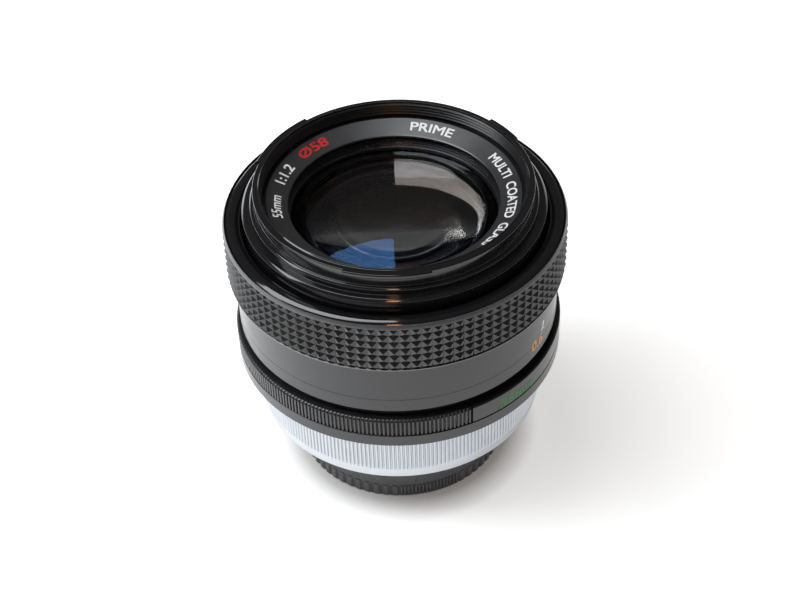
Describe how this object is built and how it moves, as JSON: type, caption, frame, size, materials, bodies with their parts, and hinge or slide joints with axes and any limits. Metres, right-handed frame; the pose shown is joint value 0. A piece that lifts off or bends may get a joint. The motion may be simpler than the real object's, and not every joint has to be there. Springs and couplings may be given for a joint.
{
  "type": "prime camera lens",
  "caption": "Fast standard prime lens for a film reflex camera, with knurled focus ring, ribbed aperture ring, breech-lock mount, iris and rear cap.",
  "frame": {"origin": "bottom centre of the rear cap, on the optical axis", "axes": "+Z along the optical axis from the camera side to the front glass; -Y is the side with the hood lug and the start of the distance scale"},
  "size_m": [0.076, 0.076, 0.075],
  "materials": {
    "black_satin": "satin black anodised",
    "black_knurl": "satin black, diamond knurled",
    "black_gloss": "polished black",
    "black_internal": "matt black",
    "satin_chrome": "satin chrome, fluted",
    "plate_steel": "turned steel",
    "brass_thread": "machined",
    "aluminium_tube": "machined",
    "blade_steel": "blackened spring steel",
    "coated_glass": "polished with an amber and purple coating",
    "red_mark": "gloss",
    "cap_plastic": "satin moulded"
  },
  "bodies": {
    "fixed_barrel": {"main_barrel": "black_satin", "outer_helicoid": "brass_thread", "depth_scale_segment": "black_satin", "mount_plate": "plate_steel", "mount_screws": "plate_steel", "rear_lever_guard": "black_internal", "helicoid_guide_keys": "brass_thread", "detent_ball": "plate_steel", "detent_leaf_spring": "plate_steel"},
    "focus_ring": {"focus_grip_ring": "black_knurl", "focus_trim_ring": "black_gloss", "distance_scale_skirt": "black_satin", "focus_helicoid": "brass_thread", "grip_ring_screws": "plate_steel"},
    "front_barrel": {"filter_ring": "black_satin", "name_ring": "black_satin", "inner_barrel": "aluminium_tube", "front_cell": "black_internal", "front_retaining_ring": "black_internal", "front_spacer": "black_internal", "front_element": "coated_glass", "second_element": "coated_glass", "third_element": "coated_glass", "iris_housing": "black_internal", "stop_retaining_ring": "black_internal", "rear_cell": "black_internal", "fourth_element": "coated_glass", "fifth_element": "coated_glass", "sixth_element": "coated_glass", "seventh_element": "coated_glass", "rear_spacer": "black_internal", "rear_retaining_ring": "black_internal"},
    "iris_ring": {"iris_drive_ring": "brass_thread"},
    "aperture_ring": {"aperture_ring": "black_satin", "aperture_signal_lever": "plate_steel"},
    "stop_down_lever": {"stop_down_lever": "plate_steel"},
    "breech_ring": {"breech_lock_ring": "satin_chrome", "breech_index_bead": "red_mark"},
    "rear_cap": {"rear_cap": "cap_plastic"},
    "blade_1": {"iris_blade_1": "blade_steel"},
    "blade_2": {"iris_blade_2": "blade_steel"},
    "blade_3": {"iris_blade_3": "blade_steel"},
    "blade_4": {"iris_blade_4": "blade_steel"},
    "blade_5": {"iris_blade_5": "blade_steel"},
    "blade_6": {"iris_blade_6": "blade_steel"},
    "blade_7": {"iris_blade_7": "blade_steel"},
    "blade_8": {"iris_blade_8": "blade_steel"}
  },
  "joints": [
    {"name": "focus_turn", "type": "hinge", "parent": "fixed_barrel", "child": "focus_ring", "pos_m": [0, 0, 0.05], "axis": [0, 0, 1], "range_deg": [-119, 51]},
    {"name": "barrel_slide", "type": "slide", "parent": "fixed_barrel", "child": "front_barrel", "axis": [0, 0, 1], "range_m": [-0.00442, 0.0019]},
    {"name": "aperture_turn", "type": "hinge", "parent": "fixed_barrel", "child": "aperture_ring", "pos_m": [0, 0, 0.035], "axis": [0, 0, 1], "range_deg": [-60, 0]},
    {"name": "breech_ring_turn", "type": "hinge", "parent": "fixed_barrel", "child": "breech_ring", "pos_m": [0, 0, 0.025], "axis": [0, 0, 1], "range_deg": [-62, 0]},
    {"name": "stop_down_turn", "type": "hinge", "parent": "fixed_barrel", "child": "stop_down_lever", "pos_m": [0, 0, 0.0225], "axis": [0, 0, 1], "range_deg": [0, 14], "stiffness_Nm_per_rad": 0.01},
    {"name": "iris_ring_turn", "type": "hinge", "parent": "front_barrel", "child": "iris_ring", "pos_m": [0, 0, 0.041], "axis": [0, 0, 1], "range_deg": [-0.5, 14.5]},
    {"name": "rear_cap_slide", "type": "slide", "parent": "fixed_barrel", "child": "rear_cap", "axis": [0, 0, 1], "range_m": [-0.03, 0]},
    {"name": "blade_1_turn", "type": "hinge", "parent": "front_barrel", "child": "blade_1", "pos_m": [0, -0.0218, 0.039], "axis": [0, 0, 1], "range_deg": [-1, 41]},
    {"name": "blade_2_turn", "type": "hinge", "parent": "front_barrel", "child": "blade_2", "pos_m": [0.01541, -0.01541, 0.039], "axis": [0, 0, 1], "range_deg": [-1, 41]},
    {"name": "blade_3_turn", "type": "hinge", "parent": "front_barrel", "child": "blade_3", "pos_m": [0.0218, 0, 0.039], "axis": [0, 0, 1], "range_deg": [-1, 41]},
    {"name": "blade_4_turn", "type": "hinge", "parent": "front_barrel", "child": "blade_4", "pos_m": [0.01541, 0.01541, 0.039], "axis": [0, 0, 1], "range_deg": [-1, 41]},
    {"name": "blade_5_turn", "type": "hinge", "parent": "front_barrel", "child": "blade_5", "pos_m": [0, 0.0218, 0.039], "axis": [0, 0, 1], "range_deg": [-1, 41]},
    {"name": "blade_6_turn", "type": "hinge", "parent": "front_barrel", "child": "blade_6", "pos_m": [-0.01541, 0.01541, 0.039], "axis": [0, 0, 1], "range_deg": [-1, 41]},
    {"name": "blade_7_turn", "type": "hinge", "parent": "front_barrel", "child": "blade_7", "pos_m": [-0.0218, 0, 0.039], "axis": [0, 0, 1], "range_deg": [-1, 41]},
    {"name": "blade_8_turn", "type": "hinge", "parent": "front_barrel", "child": "blade_8", "pos_m": [-0.01541, -0.01541, 0.039], "axis": [0, 0, 1], "range_deg": [-1, 41]}
  ],
  "couplings": [
    {"joint": "barrel_slide", "follows": "focus_turn", "m_per_rad": 0.0021232},
    {"joint": "iris_ring_turn", "follows": "stop_down_turn", "ratio": 1},
    {"joint": "blade_1_turn", "follows": "stop_down_turn", "ratio": 2.8571},
    {"joint": "blade_2_turn", "follows": "stop_down_turn", "ratio": 2.8571},
    {"joint": "blade_3_turn", "follows": "stop_down_turn", "ratio": 2.8571},
    {"joint": "blade_4_turn", "follows": "stop_down_turn", "ratio": 2.8571},
    {"joint": "blade_5_turn", "follows": "stop_down_turn", "ratio": 2.8571},
    {"joint": "blade_6_turn", "follows": "stop_down_turn", "ratio": 2.8571},
    {"joint": "blade_7_turn", "follows": "stop_down_turn", "ratio": 2.8571},
    {"joint": "blade_8_turn", "follows": "stop_down_turn", "ratio": 2.8571}
  ]
}
